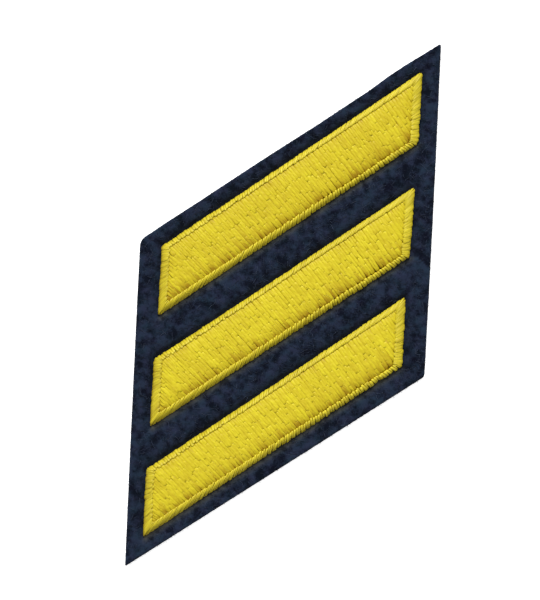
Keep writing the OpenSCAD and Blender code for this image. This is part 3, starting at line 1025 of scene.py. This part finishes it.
def corner_shift(k, s, away, inward):
    """How far a corner's radius moves points of the felt's edge, at distances s from it."""
    here = felt_edge[k]
    back, on = unit(felt_edge[k - 1] - here), unit(felt_edge[(k + 1) % 4] - here)
    turn = (math.pi - math.acos(back @ on)) / 2
    radius = CORNER_RADII[k]
    reach = radius * math.tan(turn)
    phi = turn * clamp(1 - s / reach)
    moved = away * (reach - s - radius * np.sin(phi))[:, None]
    moved = moved + inward * (radius * (1 - np.cos(phi)))[:, None]
    return np.where((s > reach)[:, None], 0.0, moved)


def edge_shift(k, points):
    """How far the cut moves points of an edge from the straight line between its corners."""
    a, b = felt_edge[k], felt_edge[(k + 1) % 4]
    length = norm(b - a)
    s = norm(points - a)
    t = clamp(s / length)
    along, out = unit(b - a), outward(a, b)
    stray = EDGE_BOW[k] * 4 * t * (1 - t)
    if k == UPPER:
        stray = stray + np.interp(t, UPPER_WAVER[:, 0], UPPER_WAVER[:, 1])
    rough = lumpy(points, CUT_SCALE, CUT_LAYER + k) * CUT_ROUGH
    fade = clamp(np.minimum(s, length - s) / CUT_FADE)
    return (
        out * (stray + rough * fade)[:, None]
        + corner_shift(k, s, along, -out)
        + corner_shift((k + 1) % 4, np.maximum(0, length - s), -along, -out)
    )


def felt_plan(r, c):
    """The felt's plan after its edges are cut."""
    zero = np.zeros_like(r)
    near = [1 - r, c - LAST_COLUMN + 1, r - LAST_ROW + 1, 1 - c]
    near = [clamp(part)[:, None] for part in near]
    edges = [(zero, c), (r, zero + LAST_COLUMN), (zero + LAST_ROW, c), (r, zero)]
    plan = net_points(r, c)
    for k in (LOWER, UPPER, RIGHT, LEFT):
        plan = plan + near[k] * edge_shift(k, net_points(*edges[k]))
    for k in range(4):
        plan = plan - near[k - 1] * near[k] * edge_shift(k, felt_edge[k:k + 1])
    return plan


def beside_bars(points):
    """Distance of each point outside the nearest bar, and how far below and above it that is."""
    distances = np.array([outside_ring(points, ring(o, 0)) for o in outlines.values()])
    nearest = distances.argmin(axis=0)
    index = np.arange(len(points))
    beside = distances[nearest, index]
    found = [beside]
    for k in (LOWER, UPPER):
        past = np.array([beyond(points, o, k) for o in outlines.values()])[nearest, index]
        found.append(clamp(past / np.maximum(beside, TINY)) ** 2)
    return found


def felt_heights(points, straight):
    """Height of the felt's face, and weights of painted shade beside bars and painted light below.

    The points are its plan, and straight is the plan before the cut.
    """
    beside, below, above = beside_bars(points)
    inside = np.maximum(0, -outside(straight, felt_edge))
    near = np.maximum(0, beside)
    hollow = GROOVE_DEPTH * fading(near, GROOVE_REACH)
    worn = clamp(1 - inside / FELT_ROUND)
    free = clamp(near / GROOVE_REACH) * clamp(inside / (2 * FELT_ROUND))
    dents = np.zeros(len(points))
    for x, y, turn, long, wide, high in DENTS:
        away = points - [x, y]
        along, across = away @ direction(turn) / long, cross(direction(turn), away) / wide
        dents += high * np.exp(-along * along - across * across)
    lumps = lumpy(points, LUMP_SCALE, LUMP_LAYER, lambda p: noise.fractal(p, 1.0, 2.0, 3))
    z = FELT_THICK - hollow - FELT_ROUND * (1 - np.sqrt(1 - worn * worn)) + free * dents
    nap = lumpy(points, NAP_SCALE, NAP_LAYER)
    z += LUMP_HIGH * lumps * np.clip(near / LUMP_FADE, LUMP_LEAST, 1) + NAP_HIGH * nap
    z += mix(-PULLED_IN, PILED_UP, below) * fading(near, PULLED_REACH)
    # Painted shade beside a bar, most above it, and painted light below it, where the felt faces
    # the light
    painted_groove_shade = fading(near, GROOVE_SHADE_REACH) * (1 - below) * mix(GROOVE_SHADE_BESIDE, 1.0, above)
    painted_light_below = fading(near, LIGHT_BELOW_REACH) * below
    return np.where(beside < 0, FLOOR_THICK, z), painted_groove_shade, painted_light_below


def felt_mesh():
    """A fine sheet bent to the felt's face, with its cut edge and its flat back."""
    across, along = grid_lines()
    bm = bmesh.new()
    bmesh.ops.create_grid(bm, x_segments=len(along) - 1, y_segments=len(across) - 1, size=1.0)
    part = (np.array([v.co.xy for v in bm.verts]) + 1) / 2
    step = np.rint(part * [len(along) - 1, len(across) - 1]).astype(int)
    r, c = across[step[:, 1]], along[step[:, 0]]
    plan = felt_plan(r, c)
    z, painted_groove_shade, painted_light_below = felt_heights(plan, net_points(r, c))
    # Weights of the painted shade and the painted light, kept for the felt's finish
    layers = [bm.verts.layers.float.new(layer) for layer in ("painted_groove_shade", "painted_light_below")]
    for k, v in enumerate(bm.verts):
        v.co = Vector((*plan[k], z[k])) * MM
        v[layers[0]], v[layers[1]] = painted_groove_shade[k], painted_light_below[k]
    rim = [e for e in bm.edges if e.is_boundary]
    for height, inset in ((RIM_HEIGHT, 0.0), (0.0, RIM_INSET)):
        grown = bmesh.ops.extrude_edge_only(bm, edges=rim)["geom"]
        for v in (g for g in grown if isinstance(g, bmesh.types.BMVert)):
            flat = Vector((v.co.x, v.co.y, 0))
            v.co = flat - flat.normalized() * inset * MM + Vector((0, 0, height * MM))
        rim = [g for g in grown if isinstance(g, bmesh.types.BMEdge)]
    bmesh.ops.edgeloop_fill(bm, edges=rim)
    bmesh.ops.recalc_face_normals(bm, faces=bm.faces)
    for face in bm.faces:
        face.smooth = len(face.verts) == 4
    return mesh_of(bm)


# Loose fibres


def on_bare_felt(points, inset, clear):
    """Whether points are on the felt, an inset from its edge, and clear of the bars."""
    on = outside(points, felt_edge) < -inset
    return on & np.all([outside(points, o) > clear for o in outlines.values()], axis=0)


def curled(start, heading, length, curl, rng):
    """Plan paths of fibres that leave their starts at a heading and curl as they go."""
    mid = (FIBRE_WAY[1:] + FIBRE_WAY[:-1]) / 2
    bend = curl[:, None] * mid + rng.normal(0, CURL_VARIES, (len(start), FIBRE_RINGS - 1))
    angle = heading[:, None] + bend
    steps = np.stack([np.cos(angle), np.sin(angle)], axis=-1)
    steps = steps * (length / (FIBRE_RINGS - 1))[:, None, None]
    walked = np.concatenate([np.zeros((len(start), 1, 2)), np.cumsum(steps, axis=1)], axis=1)
    return start[:, None, :] + walked


def fibre_mesh(plan, z, thick, shade):
    run = np.gradient(plan, axis=1)
    side = unit(lifted(left_of(run), 0))
    return fibre.copies(lifted(plan, z), side, thick[:, None], thick[:, None], shade[:, None])


def felt_fibres(rng):
    """Fibres lying on the felt's face, and fibres that stand out from its cut edge."""
    low, high = felt_edge.min(axis=0), felt_edge.max(axis=0)
    start = rng.uniform(low, high, (PLACES_TRIED, 2))
    start = start[on_bare_felt(start, inset=0.1, clear=0.1)][:FELT_FIBRES]
    count = len(start)
    length = drawn(rng.lognormal, count, *FELT_LENGTHS)
    heading, curl = rng.uniform(0, 2 * math.pi, count), rng.normal(0, FELT_CURL, count)
    plan = curled(start, heading, length, curl, rng)
    flat = plan.reshape(-1, 2)
    z = felt_heights(flat, flat)[0]
    arch, clear, ends = 0.04, 0.012, -0.01
    lift = np.abs(rng.normal(0, arch, (count, 1))) * np.sin(math.pi * FIBRE_WAY) + clear
    lift[:, [0, -1]] = ends
    z = z.reshape(plan.shape[:2]) + lift
    keep = on_bare_felt(plan, inset=-0.1, clear=-0.02).all(axis=1)
    plan, z = plan[keep], z[keep]

    insets, low, high, climb = (0.02, 0.12), 0.15, FELT_THICK - 0.15, 0.12
    bottom, top, end = 0.03, 1.7, 0.01
    sides = rng.integers(0, 4, EDGE_FIBRES)
    t_edge = rng.uniform(end, 1 - end, EDGE_FIBRES)[:, None]
    a, b = felt_edge[sides], felt_edge[(sides + 1) % 4]
    out = np.array([facing(felt_edge, k) for k in sides])
    start = mix(a, b, t_edge) - out * rng.uniform(*insets, (EDGE_FIBRES, 1))
    heading = np.arctan2(out[:, 1], out[:, 0]) + rng.normal(0, EDGE_FAN, EDGE_FIBRES)
    length = drawn(rng.lognormal, EDGE_FIBRES, *EDGE_LENGTHS)
    edge_plan = curled(start, heading, length, rng.normal(0, EDGE_CURL, EDGE_FIBRES), rng)
    climbs = FIBRE_WAY * rng.normal(0, climb, (EDGE_FIBRES, 1))
    edge_z = np.clip(rng.uniform(low, high, (EDGE_FIBRES, 1)) + climbs, bottom, top)
    plan, z = np.concatenate([plan, edge_plan]), np.concatenate([z, edge_z])
    thick = drawn(rng.normal, len(z), *FELT_WIDTHS)
    thick[-EDGE_FIBRES:] *= EDGE_SLIM
    return fibre_mesh(plan, z, thick, rng.beta(*FELT_SHADES, len(z)))


def bar_surface(points, outline):
    """Height of a bar's threads at plan points."""
    seam = shrunk(outline, BORDER_WIDTHS)
    out, outside_seam = outside(points, outline), outside(points, seam)
    across = clamp(-out / np.maximum(outside_seam - out, TINY))
    on_border = border_height(across, BORDER_WALL, SEAM + SEAM_FILLED.mean(), 1.0)
    return np.where(outside_seam < 0, fill_height(points, seam), on_border)


def gold_fibres(outline, rng):
    """Filaments sprung from the gold threads, most of them along the stitches."""
    corner, along, up = outline[0], outline[1] - outline[0], outline[3] - outline[0]
    end = 0.02
    t = rng.uniform(end, 1 - end, (GOLD_FIBRES, 2))
    start = corner + along * t[:, :1] + up * t[:, 1:]
    heading = math.radians(-THREAD_FALL) + rng.normal(0, GOLD_FAN, GOLD_FIBRES)
    length = drawn(rng.lognormal, GOLD_FIBRES, *GOLD_LENGTHS)
    plan = curled(start, heading, length, rng.normal(0, GOLD_CURL, GOLD_FIBRES), rng)
    inset, arch, clear, ends = 0.3, 0.03, 0.008, 0.03
    plan = plan[(outside(plan, outline) < -inset).all(axis=1)]
    z = bar_surface(plan, outline)
    z = z + np.abs(rng.normal(0, arch, (len(z), 1))) * np.sin(math.pi * FIBRE_WAY) + clear
    z[:, [0, -1]] -= ends
    thick = drawn(rng.normal, len(z), *GOLD_WIDTHS)
    return fibre_mesh(plan, z, thick, drawn(rng.normal, len(z), *GOLD_SHADES))


rng = np.random.default_rng(FELT_SEED)
fuzz = piece("felt_fibres", felt_fibres(rng), felt_fibre_finish)
for name, outline in outlines.items():
    rng = np.random.default_rng(LOOSE_SEED + BARS[name]["row"])
    piece("loose_gold_" + name, gold_fibres(outline, rng), gold_fibre_finish)

felt = piece("felt_cloth", felt_mesh(), felt_finish)
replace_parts(felt, "felt_backing")

# Floor, light and camera

bm = bmesh.new()
bmesh.ops.create_grid(bm, x_segments=1, y_segments=1, size=FLOOR_WIDTH / 2)
floor_mesh = mesh_of(bm)
floor_mesh.materials.append(Finish("pale_floor").shader({
    "Base Color": (0.9, 0.9, 0.9, 1),
    "Roughness": 0.9,
    "Emission Color": (1, 1, 1, 1),
    "Emission Strength": FLOOR_GLOW,
}))
shown("floor", floor_mesh)

key_data = bpy.data.lights.new("key", "AREA")
key_data.size = KEY_WIDTH
key_data.energy = KEY_POWER
key = shown("key", key_data)
key.location = KEY_PLACE
key.rotation_euler = (-Vector(KEY_PLACE)).to_track_quat("-Z", "Y").to_euler()

world = bpy.data.worlds.new("studio")
world.use_nodes = True
sky = world.node_tree.nodes["Background"].inputs
sky["Color"].default_value = (1, 1, 1, 1)
sky["Strength"].default_value = SKY
bpy.context.scene.world = world
bpy.context.scene.view_settings.view_transform = "Standard"

camera_data = bpy.data.cameras.new("camera")
camera_data.lens = camera_data.sensor_width * CAMERA_HIGH * PIXELS_PER_MM / PHOTO_HIGH
camera = shown("camera", camera_data)
camera.location = Vector((*VIEW_MIDDLE, CAMERA_HIGH + FELT_THICK)) * MM
bpy.context.scene.camera = camera
